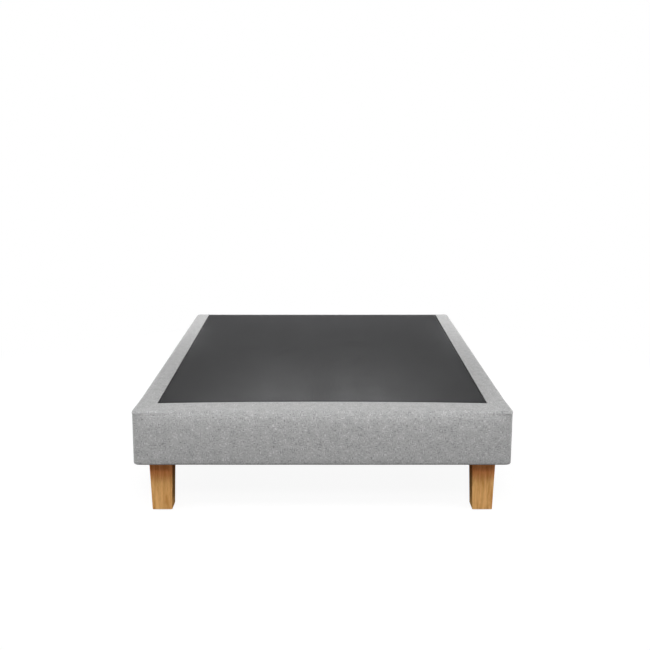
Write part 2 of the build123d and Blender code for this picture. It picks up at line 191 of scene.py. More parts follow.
zinc_tree.links.new(zinc_shader.outputs["BSDF"], zinc_surface)
dress(zinc, "beam_hanger_foot", "beam_hanger_head", "leg_nuts", "hanger_bolts", "headboard_nuts",
      "corner_screws", "corner_plate_screws", "hanger_screws", "slat_brads")


# Deck boards. Two sheets of 3.2 mm hardboard lie on the slats and make the deck flat. Pressed
# fibre gives a brown, slightly mottled face.
hardboard, hardboard_tree, hardboard_surface = new_finish("pressed hardboard")
fibre_mm = 3.0  # a bundle, because a single fibre is too fine to show
fibres = add_node(hardboard_tree, "ShaderNodeTexNoise", {
    "Vector": add_node(hardboard_tree, "ShaderNodeTexCoord").outputs["Object"],
    "Scale": 1000 / fibre_mm, "Detail": 5.0, "Roughness": 0.7,
})
hardboard_tone = add_node(hardboard_tree, "ShaderNodeValToRGB", {"Fac": fibres.outputs["Fac"]})
hardboard_tone.color_ramp.elements[0].color = linear("#5E4128")
hardboard_tone.color_ramp.elements[1].color = linear("#8A6743")
hardboard_shader = add_node(hardboard_tree, "ShaderNodeBsdfPrincipled", {
    "Base Color": hardboard_tone.outputs["Color"], "Roughness": 0.6,
})
hardboard_tree.links.new(hardboard_shader.outputs["BSDF"], hardboard_surface)
dress(hardboard, "deck_board_foot", "deck_board_head")


# Deck felt. A 6 mm sheet of needled grey fibre lies between the boards and the cloth. It gives
# way under the sewn seam round the deck panel, so it has a shallow channel there.
half_width, half_length, deck_level = cad_high.x, cad_high.y, cad_high.z
felt_low, felt_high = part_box("deck_felt")
panel_low, panel_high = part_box("deck_panel")
seam_bow, seam_flare = 0.021, 0.009
panel_foot_half = panel_high.x - seam_flare


def foot_seam(x):
    """Where the panel's foot seam runs: pulled towards the head in the middle."""
    return panel_low.y + seam_bow * max(0.0, 1 - (x / panel_foot_half) ** 2)


def side_seam(y):
    """Half the panel's width: it widens a little from the foot to the head."""
    return panel_foot_half + seam_flare * (y - panel_low.y) / (panel_high.y - panel_low.y)


def seam_distance(x, y):
    """How far a place on the deck is from the panel's seam: more than zero inside the panel."""
    return min(side_seam(y) - abs(x), y - foot_seam(x), panel_high.y - y)


def seam_dip(distance, depth, reach):
    """How far the cloth is pulled down at a distance from its seam."""
    return depth * max(0.0, 1 - abs(distance) / reach) ** 2


def build_piece(name, corners, faces, finish):
    """A smooth mesh object from its corner points and faces."""
    mesh = bpy.data.meshes.new(name)
    mesh.from_pydata(corners, [], faces)
    mesh.polygons.foreach_set("use_smooth", [True] * len(faces))
    piece = bpy.data.objects.new(name, mesh)
    bpy.context.scene.collection.objects.link(piece)
    mesh.materials.append(finish)
    return piece


def grid_faces(rows, columns):
    """Quads of a grid whose points are stored row by row."""
    return [
        (r * columns + c, r * columns + c + 1, (r + 1) * columns + c + 1, (r + 1) * columns + c)
        for r in range(rows - 1) for c in range(columns - 1)
    ]


def drilled(piece, places, radius, axis):
    """Cuts round holes along an axis through a closed piece."""
    drill_length, drill_sides = 0.1, 20
    cutter_mesh = bpy.data.meshes.new("cutter")
    shape = bmesh.new()
    turn = Vector((0, 0, 1)).rotation_difference(Vector(axis)).to_matrix().to_4x4()
    for place in places:
        bmesh.ops.create_cone(shape, cap_ends=True, segments=drill_sides, radius1=radius,
                              radius2=radius, depth=drill_length,
                              matrix=Matrix.Translation(place) @ turn)
    shape.to_mesh(cutter_mesh)
    shape.free()
    cutter = bpy.data.objects.new("cutter", cutter_mesh)
    bpy.context.scene.collection.objects.link(cutter)
    cut = piece.modifiers.new("holes", "BOOLEAN")
    cut.operation = "DIFFERENCE"
    cut.solver = "EXACT"
    cut.object = cutter
    baked(piece)
    bpy.data.objects.remove(cutter)
    bpy.data.meshes.remove(cutter_mesh)


def spaced(low, high, step):
    """Evenly spaced values from low to high, about a step apart."""
    count = max(1, round((high - low) / step))
    return [low + (high - low) * n / count for n in range(count + 1)]


def baked(piece):
    """Turns a piece's modifiers into plain mesh."""
    graph = bpy.context.evaluated_depsgraph_get()
    mesh = bpy.data.meshes.new_from_object(piece.evaluated_get(graph))
    piece.modifiers.clear()
    old = piece.data
    piece.data = mesh
    bpy.data.meshes.remove(old)
    mesh.name = piece.name


def fibre_mat(name, pale, dark, clump_mm, fluff):
    """A mat of loose fibres: clumps a few millimetres wide over a soft matt ground. A single
    fibre is too fine to show, so only the clumps are drawn."""
    finish, tree, surface = new_finish(name)
    clumps = add_node(tree, "ShaderNodeTexNoise", {
        "Vector": add_node(tree, "ShaderNodeTexCoord").outputs["Object"],
        "Scale": 1000 / clump_mm, "Detail": 6.0, "Roughness": 0.65,
    })
    tone = add_node(tree, "ShaderNodeValToRGB", {"Fac": clumps.outputs["Fac"]})
    tone.color_ramp.elements[0].position = 0.3
    tone.color_ramp.elements[0].color = linear(dark)
    tone.color_ramp.elements[1].position = 0.7
    tone.color_ramp.elements[1].color = linear(pale)
    relief = add_node(tree, "ShaderNodeBump", {
        "Strength": 0.6, "Distance": fluff, "Height": clumps.outputs["Fac"],
    })
    shader = add_node(tree, "ShaderNodeBsdfPrincipled", {
        "Base Color": tone.outputs["Color"], "Roughness": 1.0, "Sheen Weight": 0.3,
        "Normal": relief.outputs["Normal"],
    })
    tree.links.new(shader.outputs["BSDF"], surface)
    return finish


felt_clearance, felt_step, channel_depth, channel_reach = 0.0003, 0.012, 0.0026, 0.013
felt_columns = spaced(felt_low.x, felt_high.x, felt_step)
felt_rows = spaced(felt_low.y, felt_high.y, felt_step)
felt_top = felt_high.z - felt_clearance
felt_points = [
    (x, y, felt_top - seam_dip(seam_distance(x, y), channel_depth, channel_reach))
    for y in felt_rows for x in felt_columns
]
felt = build_piece("felt_sheet", felt_points, grid_faces(len(felt_rows), len(felt_columns)),
                   fibre_mat("needled grey felt", "#8F8C86", "#5F5D59", clump_mm=4.0, fluff=0.0008))
felt_body = felt.modifiers.new("sheet thickness", "SOLIDIFY")
felt_body.thickness = felt_high.z - felt_low.z - 2 * felt_clearance - channel_depth
felt_body.offset = -1
baked(felt)
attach(felt, "root")
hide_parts("deck_felt")


# Wadding. A roll of white polyester fibre, 13 mm thick, is glued along the rails on all four
# sides. It rounds the edges and meets itself in a mitre at each corner.
cloth, hem = 0.0016, 0.038
plan_radius, edge_radius, under_radius = 0.022, 0.012, 0.007
corner_turns = 5
cover_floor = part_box("cover_foot")[0].z
quarter = math.pi / 2


def edge_profile(inset, flat_rows, hem_rows):
    """Section of the upholstered edge as (distance in from the face, height, share of the flat
    top), from the deck round the edge, down the face and in along the hem."""
    round_rows, side_rows, under_rows = 7, 34, 5
    radius = edge_radius - inset
    top, low = deck_level - inset, cover_floor + inset
    points = [(edge_radius, top, n / flat_rows) for n in range(flat_rows, 0, -1)]
    for n in range(round_rows + 1):
        turn = quarter * n / round_rows
        points.append((inset + radius * (1 - math.sin(turn)),
                       top - radius * (1 - math.cos(turn)), 0))
    side_top, side_low = top - radius, low + under_radius - inset
    for n in range(1, side_rows):
        points.append((inset, side_top + (side_low - side_top) * n / side_rows, 0))
    small = under_radius - inset
    for n in range(under_rows + 1):
        turn = quarter * n / under_rows
        points.append((inset + small * (1 - math.cos(turn)), low + small * (1 - math.sin(turn)), 0))
    start = inset + small
    points += [(start + (hem - start) * n / hem_rows, low, 0) for n in range(1, hem_rows + 1)]
    return points


def edge_columns(side, spacing):
    """Columns along one side as (arc centre, outward normal, distance along), from the middle of
    one rounded corner to the middle of the next, then the side's direction and half its straight
    length. The side is foot, right, head or left."""
    facing = {"foot": -quarter, "right": 0.0, "head": quarter, "left": 2 * quarter}[side]
    out = Vector((math.cos(facing), math.sin(facing), 0))
    along = Vector((-out.y, out.x, 0))
    reach_out = abs(out.x) * half_width + abs(out.y) * half_length - plan_radius
    reach_along = abs(along.x) * half_width + abs(along.y) * half_length - plan_radius
    columns = []
    for n in range(corner_turns):
        turn = -quarter / 2 * (1 - n / corner_turns)
        columns.append((out * reach_out - along * reach_along,
                        out * math.cos(turn) + along * math.sin(turn),
                        -reach_along + turn * plan_radius))
    for place in spaced(-reach_along, reach_along, spacing):
        columns.append((out * reach_out + along * place, out.copy(), place))
    for n in range(1, corner_turns + 1):
        turn = quarter / 2 * n / corner_turns
        columns.append((out * reach_out + along * reach_along,
                        out * math.cos(turn) + along * math.sin(turn),
                        reach_along + turn * plan_radius))
    return columns, along, reach_along


def edge_point(centre, normal, distance_in, height):
    """The place on the upholstered edge at a distance in from its outer face."""
    room = max(distance_in, plan_radius)
    x = max(-(half_width - room), min(half_width - room, centre.x))
    y = max(-(half_length - room), min(half_length - room, centre.y))
    stand = max(plan_radius - distance_in, 0.0)
    return Vector((x + normal.x * stand, y + normal.y * stand, height))


crown_height, crown_shoulder, crown_fade = 0.0050, 0.032, 0.050
face_top, face_low = deck_level - edge_radius, cover_floor + under_radius


def crown(height, to_corner):
    """How far the wadding pushes the face out: most a hand's breadth below the edge, and less
    towards the corner seams."""
    below = (face_top - height) / (face_top - face_low)
    if not 0 < below < 1:
        return 0.0
    shoulder = 1 - math.exp((height - face_top) / crown_shoulder)
    return crown_height * shoulder * (1 - below ** 2) * (1 - math.exp(-to_corner / crown_fade))


foot_ease_top, foot_ease_low, ease_fade = 0.062, 0.008, 0.018


def eased(side, height, to_corner):
    """How much further in than a round edge the foot's edges lie: they bend more slowly down the
    face, and turn round again towards the corner seams."""
    if side != "foot":
        return 0.0
    further = 0.0
    for depth, radius, reach in ((deck_level - height, edge_radius, foot_ease_top),
                                 (height - cover_floor, under_radius, foot_ease_low)):
        long_bend, round_bend = (
            radius * (1 - math.sqrt(1 - max(0.0, 1 - max(0.0, depth) / length) ** 2))
            for length in (reach, radius)
        )
        further += long_bend - round_bend
    return further * (1 - math.exp(-to_corner / ease_fade))


wadding_slack, wadding_step = 0.0005, 0.03
frame_inset = half_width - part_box("side_rail_right")[1].x
headboard_hole_radius = 0.0045
headboard_nut_low, headboard_nut_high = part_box("headboard_nuts")
headboard_nut_flange = 0.011
headboard_hole_x = headboard_nut_high.x - headboard_nut_flange
headboard_hole_z = (headboard_nut_low.z + headboard_nut_high.z) / 2
headboard_holes = [(side * headboard_hole_x, half_length, headboard_hole_z) for side in (-1, 1)]
fibre_fill = fibre_mat("white polyester wadding", "#F4F4F2", "#D2D2CE", clump_mm=6.0,
                       fluff=0.0015)
for side in ("foot", "right", "head", "left"):
    face = edge_profile(cloth + wadding_slack, flat_rows=0, hem_rows=0)
    section = [(distance_in, height) for distance_in, height, _ in face]
    section += [(frame_inset, section[-1][1]), (frame_inset, section[0][1])]
    columns, _, reach_along = edge_columns(side, wadding_step)
    points = []
    for centre, normal, travelled in columns:
        to_corner = max(0.0, reach_along - abs(travelled))
        for distance_in, height in section:
            place = edge_point(centre, normal, distance_in, height)
            if distance_in < frame_inset:
                place += normal * (crown(height, to_corner) - eased(side, height, to_corner))
            points.append(place)
    ring = len(section)
    walls = [
        (c * ring + r, c * ring + (r + 1) % ring,
         (c + 1) * ring + (r + 1) % ring, (c + 1) * ring + r)
        for c in range(len(columns) - 1) for r in range(ring)
    ]
    ends = [tuple(range(ring)), tuple(range(len(points) - ring, len(points)))[::-1]]
    roll = build_piece(f"{side}_wadding_roll", points, walls + ends, fibre_fill)
    shape = bmesh.new()
    shape.from_mesh(roll.data)
    bmesh.ops.recalc_face_normals(shape, faces=shape.faces)
    shape.to_mesh(roll.data)
    shape.free()
    if side == "head":
        drilled(roll, headboard_holes, headboard_hole_radius, (0, 1, 0))
    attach(roll, "root")
    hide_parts(f"wadding_{side}")


# Cover. Four pieces of grey woven cloth are sewn together at the corners and to the deck panel.
# They run over the wadded edge, down the side and round under the frame, where they are stapled.
def deck_seam_point(side, centre, along, reach_along):
    """The place on the panel's seam that a column of the cover starts from."""
    share = centre.dot(along) / reach_along
    if side == "foot":
        x = share * panel_foot_half
        return Vector((x, foot_seam(x), deck_level))
    if side == "head":
        return Vector((-share * panel_high.x, panel_high.y, deck_level))
    sign = 1 if side == "right" else -1
    y = panel_low.y + (panel_high.y - panel_low.y) * (sign * share + 1) / 2
    return Vector((sign * side_seam(y), y, deck_level))


def puff(piece, held, most_out, most_in):
    """Lets the wadding push the cloth out between its held points, up to a limit."""
    frames, steps, pressure, stretch_stiffness, bend_stiffness = 8, 6, 0.3, 40, 2.0
    rest = [v.co.copy() for v in piece.data.vertices]
    normals = [v.normal.copy() for v in piece.data.vertices]
    held_group = piece.vertex_groups.new(name="held")
    held_group.add(held, 1.0, "REPLACE")
    cloth_pass = piece.modifiers.new("wadding pressure", "CLOTH")
    cloth_pass.settings.vertex_group_mass = held_group.name
    cloth_pass.settings.quality = steps
    cloth_pass.settings.use_pressure = True
    cloth_pass.settings.uniform_pressure_force = pressure
    cloth_pass.settings.tension_stiffness = stretch_stiffness
    cloth_pass.settings.compression_stiffness = stretch_stiffness
    cloth_pass.settings.bending_stiffness = bend_stiffness
    cloth_pass.settings.effector_weights.gravity = 0.0
    cloth_pass.point_cache.frame_end = frames
    for number in range(1, frames + 1):
        bpy.context.scene.frame_set(number)
    graph = bpy.context.evaluated_depsgraph_get()
    blown = [v.co.copy() for v in piece.evaluated_get(graph).data.vertices]
    piece.modifiers.clear()
    piece.vertex_groups.clear()
    bpy.context.scene.frame_set(1)
    for vertex, start, normal, end in zip(piece.data.vertices, rest, normals, blown):
        push = (end - start).dot(normal)
        vertex.co = start + normal * max(-most_in, min(most_out, push))


# Woven melange: pale and dark yarns cross, which gives the eye a soft grey speckle over a faint
# grid. Real flecks are about 3 by 1 mm and yarns 1.5 mm apart, too fine to show, so the strokes,
# the patches of one yarn and the rows are drawn coarser.
melange, melange_tree, melange_surface = new_finish("grey melange upholstery weave")
cover_map = "cloth metres"
stroke_long_mm, stroke_wide_mm, patch_mm, blotch_mm, row_mm = 10.5, 3.9, 14.0, 30.0, 9.425
blotch_share, stroke_height = 0.2, 0.35
melange_place = add_node(melange_tree, "ShaderNodeUVMap", uv_map=cover_map).outputs["UV"]


def yarn_strokes(along_mm, across_mm, seed):
    """Short strokes of lighter and darker yarn, drawn out one way."""
    stretched = add_node(melange_tree, "ShaderNodeMapping", {
        "Vector": melange_place, "Scale": (1000 / along_mm, 1000 / across_mm, 1.0),
        "Location": (seed, seed, 0.0),
    })
    return add_node(melange_tree, "ShaderNodeTexNoise", {
        "Vector": stretched.outputs["Vector"], "Scale": 1.0, "Detail": 1.5, "Roughness": 0.6,
    }).outputs["Fac"]


weft = yarn_strokes(stroke_long_mm, stroke_wide_mm, seed=3.1)
warp = yarn_strokes(stroke_wide_mm, stroke_long_mm, seed=17.7)
patches = add_node(melange_tree, "ShaderNodeTexNoise", {
    "Vector": melange_place, "Scale": 1000 / patch_mm, "Detail": 1.0,
})
patch_choice = add_node(melange_tree, "ShaderNodeMapRange", {
    "Value": patches.outputs["Fac"], "From Min": 0.45, "From Max": 0.55,
})
strokes = add_node(melange_tree, "ShaderNodeMix", {
    0: patch_choice.outputs["Result"], 2: weft, 3: warp,
})
blotches = add_node(melange_tree, "ShaderNodeTexNoise", {
    "Vector": melange_place, "Scale": 1000 / blotch_mm, "Detail": 1.0,
})
mottled = add_node(melange_tree, "ShaderNodeMix", {
    0: blotch_share, 2: strokes.outputs[0], 3: blotches.outputs["Fac"],
})
melange_tone = add_node(melange_tree, "ShaderNodeValToRGB", {"Fac": mottled.outputs[0]})
melange_tone.color_ramp.elements[0].position = 0.32
melange_tone.color_ramp.elements[0].color = linear("#848484")
melange_tone.color_ramp.elements[1].position = 0.70
melange_tone.color_ramp.elements[1].color = linear("#D4D4D4")
for stop, shade in ((0.45, "#A7A7A7"), (0.57, "#B3B3B3")):
    melange_tone.color_ramp.elements.new(stop).color = linear(shade)
yarn_rows = [
    add_node(melange_tree, "ShaderNodeTexWave", {
        "Vector": melange_place, "Scale": 1000 * wave_spacing / row_mm,
    }, bands_direction=direction).outputs["Fac"]
    for direction in ("X", "Y")
]
yarn_grid = add_node(melange_tree, "ShaderNodeMath", {0: yarn_rows[0], 1: yarn_rows[1]},
                     operation="MAXIMUM")
melange_height = add_node(melange_tree, "ShaderNodeMath", {
    0: yarn_grid.outputs[0], 1: stroke_height, 2: strokes.outputs[0],
}, operation="MULTIPLY_ADD")
melange_relief = add_node(melange_tree, "ShaderNodeBump", {
    "Strength": 0.35, "Distance": 0.0005, "Height": melange_height.outputs[0],
})
melange_shader = add_node(melange_tree, "ShaderNodeBsdfPrincipled", {
    "Base Color": melange_tone.outputs["Color"], "Roughness": 0.92, "Specular IOR Level": 0.25,
    "Sheen Weight": 0.15, "Sheen Roughness": 0.5, "Normal": melange_relief.outputs["Normal"],
})
melange_tree.links.new(melange_shader.outputs["BSDF"], melange_surface)

corner_ear, ear_fade = 0.0034, 0.110
cover_step, hem_rows = 0.010, 3
cover_dip, cover_dip_reach = 0.0014, 0.006
corner_tuck, corner_touch, seam_spread = 0.0009, 0.0001, 0.0001
unevenness = ((9.0, 0.0005), (3.1, 0.0006))  # waves in a metre, and their height
puff_out, puff_in = 0.0012, 0.0004
cover_border = {"foot": 12, "left": 8, "right": 8, "head": 1}  # rows from the seam to the edge
for side, flat_rows in cover_border.items():
    profile = edge_profile(0.0, flat_rows, hem_rows)
    columns, along, reach_along = edge_columns(side, cover_step)
    points, metres, run = [], [], 0.0
    seam_points = [deck_seam_point(side, centre, along, reach_along) for centre, _, _ in columns]
    # The columns of a corner end in one point of the seam; the cloth pass needs them apart.
    for n in range(1, corner_turns + 1):
        seam_points[n] = seam_points[0] + along * (n * seam_spread)
        seam_points[-1 - n] = seam_points[-1] - along * (n * seam_spread)
    middle = len(columns) // 2
    previous = None
    for distance_in, height, flat_share in profile:
        row = []
        for (centre, normal, travelled), seam in zip(columns, seam_points):
            place = edge_point(centre, normal, distance_in, height).lerp(seam, flat_share)
            if flat_share or distance_in > 0.0:
                place.z -= seam_dip((place - seam).length, cover_dip, cover_dip_reach)
            soft = sum(noise.noise(place * waves) * swell for waves, swell in unevenness)
            to_corner = max(0.0, reach_along - abs(travelled))
            tucked = corner_tuck if to_corner < corner_touch else 0.0
            push = crown(height, to_corner) - eased(side, height, to_corner)
            place += normal * (soft - tucked + push) * (1 - flat_share)
            # The foot corners stand up a little, where the corner seam bunches the cloth.
            if height > face_top and not flat_share and centre.y < 0:
                rise = min(1.0, (height - face_top) / edge_radius)
                lean = math.sqrt(1 - rise ** 2)
                ear = corner_ear * 2 * rise * lean * math.exp(-(to_corner / ear_fade) ** 2)
                place += (normal * lean + Vector((0, 0, rise))) * ear
            row.append(place)
            outer = edge_point(centre, normal, 0.0, height)
            surplus = (travelled - outer.dot(along)) * (1 - flat_share)
            metres.append([place.dot(along) + surplus, 0.0])
        if previous:
            run += (row[middle] - previous[middle]).length
        for entry in metres[-len(columns):]:
            entry[1] = run
        points += row
        previous = row
    rows = len(profile)
    outward = [face[::-1] for face in grid_faces(rows, len(columns))]
    piece = build_piece(f"{side}_cover_cloth", points, outward, melange)
    uv_layer = piece.data.uv_layers.new(name=cover_map)
    for loop in piece.data.loops:
        uv_layer.data[loop.index].uv = metres[loop.vertex_index]
    held = [
        r * len(columns) + c for r in range(rows) for c in range(len(columns))
        if r == 0 or r >= rows - hem_rows - 1 or c in (0, len(columns) - 1)
    ]
    puff(piece, held, puff_out, puff_in)
    cover_thickness = piece.modifiers.new("cloth thickness", "SOLIDIFY")
    cover_thickness.thickness = cloth
    cover_thickness.offset = -1
    baked(piece)
    if side == "head":
        drilled(piece, headboard_holes, headboard_hole_radius, (0, 1, 0))
    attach(piece, "root")
    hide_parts(f"cover_{side}")


# Deck panel. One sheet of charcoal non-slip cloth closes the top, stretched over the felt and
# sewn to the cover all round. It is pulled down at the seam and has faint fullness at the foot.

# Brushed knit with printed dots of grip compound: nearly black and matt to the eye, with a faint
# gloss from the dots. Such a knit and its dots repeat every 1 to 2 mm, too fine to show, so both
# are drawn coarser. Lint changes the tone slowly over the whole sheet. Painted sheen pales the
# cloth in places, and painted shade darkens it in others.
charcoal, charcoal_tree, charcoal_surface = new_finish("charcoal non-slip cloth")
charcoal_place = add_node(charcoal_tree, "ShaderNodeTexCoord").outputs["Object"]
knit_mm, lint_mm, dot_spacing_mm, dot_share, dot_blur = 3.0, 143.0, 4.5, 0.25, 0.03
knit = add_node(charcoal_tree, "ShaderNodeTexNoise", {
    "Vector": charcoal_place, "Scale": 1000 / knit_mm, "Detail": 2.0,
})
lint = add_node(charcoal_tree, "ShaderNodeTexNoise", {
    "Vector": charcoal_place, "Scale": 1000 / lint_mm, "Detail": 4.0, "Roughness": 0.6,
})
charcoal_tone = add_node(charcoal_tree, "ShaderNodeValToRGB", {"Fac": lint.outputs["Fac"]})
charcoal_tone.color_ramp.elements[0].position = 0.3
charcoal_tone.color_ramp.elements[0].color = linear("#353536")
charcoal_tone.color_ramp.elements[1].position = 0.7
charcoal_tone.color_ramp.elements[1].color = linear("#3A3A3B")
# Painted sheen and painted shade: the colour is scaled by a value stored on the panel's points.
charcoal_painted_sheen = add_node(charcoal_tree, "ShaderNodeHueSaturation", {
    "Color": charcoal_tone.outputs["Color"],
    "Value": add_node(charcoal_tree, "ShaderNodeAttribute", attribute_name="painted_sheen").outputs["Fac"],
})
charcoal_relief = add_node(charcoal_tree, "ShaderNodeBump", {
    "Strength": 0.3, "Distance": 0.0003, "Height": knit.outputs["Fac"],
})
charcoal_cloth = add_node(charcoal_tree, "ShaderNodeBsdfDiffuse", {
    "Color": charcoal_painted_sheen.outputs["Color"], "Roughness": 0.6,
    "Normal": charcoal_relief.outputs["Normal"],
})
charcoal_dot = add_node(charcoal_tree, "ShaderNodeBsdfPrincipled", {
    "Base Color": charcoal_tone.outputs["Color"], "Roughness": 0.42, "Specular IOR Level": 0.12,
})
dot_grid = add_node(charcoal_tree, "ShaderNodeTexVoronoi", {
    "Vector": charcoal_place, "Scale": 1000 / dot_spacing_mm, "Randomness": 0.8,
}, voronoi_dimensions="2D")
dot_edge = add_node(charcoal_tree, "ShaderNodeMapRange", {
    "Value": dot_grid.outputs["Distance"], "From Min": dot_share + dot_blur,
    "From Max": dot_share - dot_blur,
})
charcoal_shader = add_node(charcoal_tree, "ShaderNodeMixShader", {
    0: dot_edge.outputs["Result"], 1: charcoal_cloth.outputs["BSDF"],
    2: charcoal_dot.outputs["BSDF"],
})
charcoal_tree.links.new(charcoal_shader.outputs["Shader"], charcoal_surface)

ridge_places = (-0.205, -0.080, 0.080, 0.205)
ridge_width, ridge_height, ridge_reach, ridge_fan, ridge_fade = 0.030, 0.0010, 0.70, 0.25, 1.2
# Painted sheen and painted shade on the panel: where and how strongly the cloth's colour is paled
# or darkened.
sheen_reach, sheen_width, sheen_gain, foot_shade_loss, sheen_fade = 0.80, 0.50, 1.10, 0.48, 1.6
valley_width, valley_loss, ridge_gain = 0.06, 0.24, 0.25
edge_width, edge_middle, edge_spread, edge_gain = 0.05, 1.15, 0.35, 1.00


def fullness(x, from_foot):
    """Share of the full ridge height at a place on the panel. Four soft ridges start at the foot
    seam, fan out a little and die away before the middle of the bed."""
    spread = 1 + ridge_fan * from_foot
    width = ridge_width * (1 + from_foot)
    ridges = sum(math.exp(-((x / spread - place) / width) ** 2) for place in ridge_places)
    return ridges * max(0.0, 1 - from_foot / ridge_reach) ** ridge_fade


def painted_sheen(x, from_foot):
    """How much painted sheen and painted shade scale the cloth's colour. Painted sheen pales the
    middle of the foot end, the ridges and the cloth beside the side seams towards the head; painted
    shade darkens the foot corners and the valley between the two middle ridges."""
    near = max(0.0, 1 - from_foot / sheen_reach) ** sheen_fade
    middle_sheen = sheen_gain * math.exp(-(x / sheen_width) ** 4)
    valley = valley_loss * math.exp(-(x / valley_width) ** 2)
    by_seam = math.exp((abs(x) - panel_foot_half) / edge_width)
    by_seam *= edge_gain * math.exp(-((from_foot - edge_middle) / edge_spread) ** 2)
    return 1 + near * (middle_sheen - valley - foot_shade_loss) + ridge_gain * fullness(x, from_foot) + by_seam


panel_step, panel_dip, panel_dip_reach = 0.010, 0.0018, 0.010
panel_wave, taut_edge = 0.0003, 0.03
panel_waves = ((9.1, 4.3, 0.0), (-5.2, 6.7, 1.0))  # turn across and along the bed, and its start
panel_columns = spaced(panel_low.x, panel_high.x, panel_step)
panel_rows = round((panel_high.y - panel_low.y) / panel_step)
panel_points, panel_painted_sheen = [], []
for n in range(panel_rows + 1):
    for column in panel_columns:
        start = foot_seam(column * panel_foot_half / panel_high.x)
        y = start + (panel_high.y - start) * n / panel_rows
        x = column * side_seam(y) / panel_high.x
        from_foot, from_seam = y - foot_seam(x), seam_distance(x, y)
        waves = sum(math.sin(across * x + down * y + turn) for across, down, turn in panel_waves)
        loose = fullness(x, from_foot) * ridge_height + panel_wave * waves
        rise = loose * min(1.0, max(from_seam, 0.0) / taut_edge)
        rise -= seam_dip(from_seam, panel_dip, panel_dip_reach)
        panel_points.append((x, y, deck_level + rise))
        # Painted sheen and painted shade for this point of the panel.
        panel_painted_sheen.append(painted_sheen(x, from_foot))
panel_faces = grid_faces(panel_rows + 1, len(panel_columns))
panel = build_piece("panel_cloth", panel_points, panel_faces, charcoal)
# The painted sheen and shade values are kept on the mesh for the cloth's colour.
panel.data.attributes.new("painted_sheen", "FLOAT", "POINT").data.foreach_set("value", panel_painted_sheen)
panel_thickness = panel.modifiers.new("cloth thickness", "SOLIDIFY")
panel_thickness.thickness = cloth * 0.8  # a thinner cloth than the cover's
panel_thickness.offset = -1
baked(panel)
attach(panel, "root")
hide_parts("deck_panel")


# Underside lining. One sheet of thin black spun cloth closes the base from below. Its edge is
# stapled over the hem of the cover, and it sags a little between the rails. The points where
# its fibres are bonded give a dull dotted face, drawn coarser than the real 1 mm to show.
spun, spun_tree, spun_surface = new_finish("black spun lining cloth")
spun_place = add_node(spun_tree, "ShaderNodeTexCoord").outputs["Object"]
bond_mm = 1.8
bonds = add_node(spun_tree, "ShaderNodeTexVoronoi", {"Vector": spun_place, "Scale": 1000 / bond_mm})
spun_tone = add_node(spun_tree, "ShaderNodeValToRGB", {"Fac": bonds.outputs["Distance"]})
spun_tone.color_ramp.elements[0].color = linear("#1B1B1C")
spun_tone.color_ramp.elements[1].color = linear("#2C2C2E")
spun_relief = add_node(spun_tree, "ShaderNodeBump", {
    "Strength": 0.5, "Distance": 0.0002, "Height": bonds.outputs["Distance"],
})
spun_shader = add_node(spun_tree, "ShaderNodeBsdfPrincipled", {
    "Base Color": spun_tone.outputs["Color"], "Roughness": 0.85,
    "Normal": spun_relief.outputs["Normal"],
})
spun_tree.links.new(spun_shader.outputs["BSDF"], spun_surface)

lining_low, lining_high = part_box("underside_lining")
lining_sag, sag_reach, sag_curve, lining_ripple, ripple_reach = 0.0035, 0.35, 0.7, 0.0006, 0.06
staple_inset, staple_spacing, lining_step = 0.010, 0.045, 0.011
bolt_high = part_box("hanger_bolts")[1]
bolt_radius, bolt_clearance = 0.0049, 0.0006
bolt_places = [
    (sx * (bolt_high.x - bolt_radius), sy * (bolt_high.y - bolt_radius), lining_low.z)
    for sx in (-1, 1) for sy in (-1, 1)
]
leg_reach, leg_fade = 0.075, 0.06


def lining_drop(x, y):
    """How far the lining hangs below its stapled edge; it lies flat round the legs."""
    edge = min(lining_high.x - abs(x), lining_high.y - abs(y))
    near_leg = min(max(abs(x - bx), abs(y - by)) for bx, by, _ in bolt_places)
    free = max(0.0, min(1.0, (near_leg - leg_reach) / leg_fade))
    hang = lining_sag * min(1.0, max(0.0, edge - staple_inset) / sag_reach) ** sag_curve
    wave = lining_ripple * (0.5 - 0.5 * math.cos(2 * math.pi * (x + y) / staple_spacing))
    return (hang + wave * math.exp(-edge / ripple_reach)) * free


lining_columns = spaced(lining_low.x, lining_high.x, lining_step)
lining_rows = spaced(lining_low.y, lining_high.y, lining_step)
lining_points = [
    (x, y, lining_high.z - lining_drop(x, y)) for y in lining_rows for x in lining_columns
]
lining = build_piece("lining_cloth", lining_points,
                     grid_faces(len(lining_rows), len(lining_columns)), spun)
lining_thickness = lining.modifiers.new("cloth thickness", "SOLIDIFY")
lining_thickness.thickness = lining_high.z - lining_low.z
lining_thickness.offset = -1
baked(lining)
drilled(lining, bolt_places, bolt_radius + bolt_clearance, (0, 0, 1))
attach(lining, "root")
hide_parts("underside_lining")


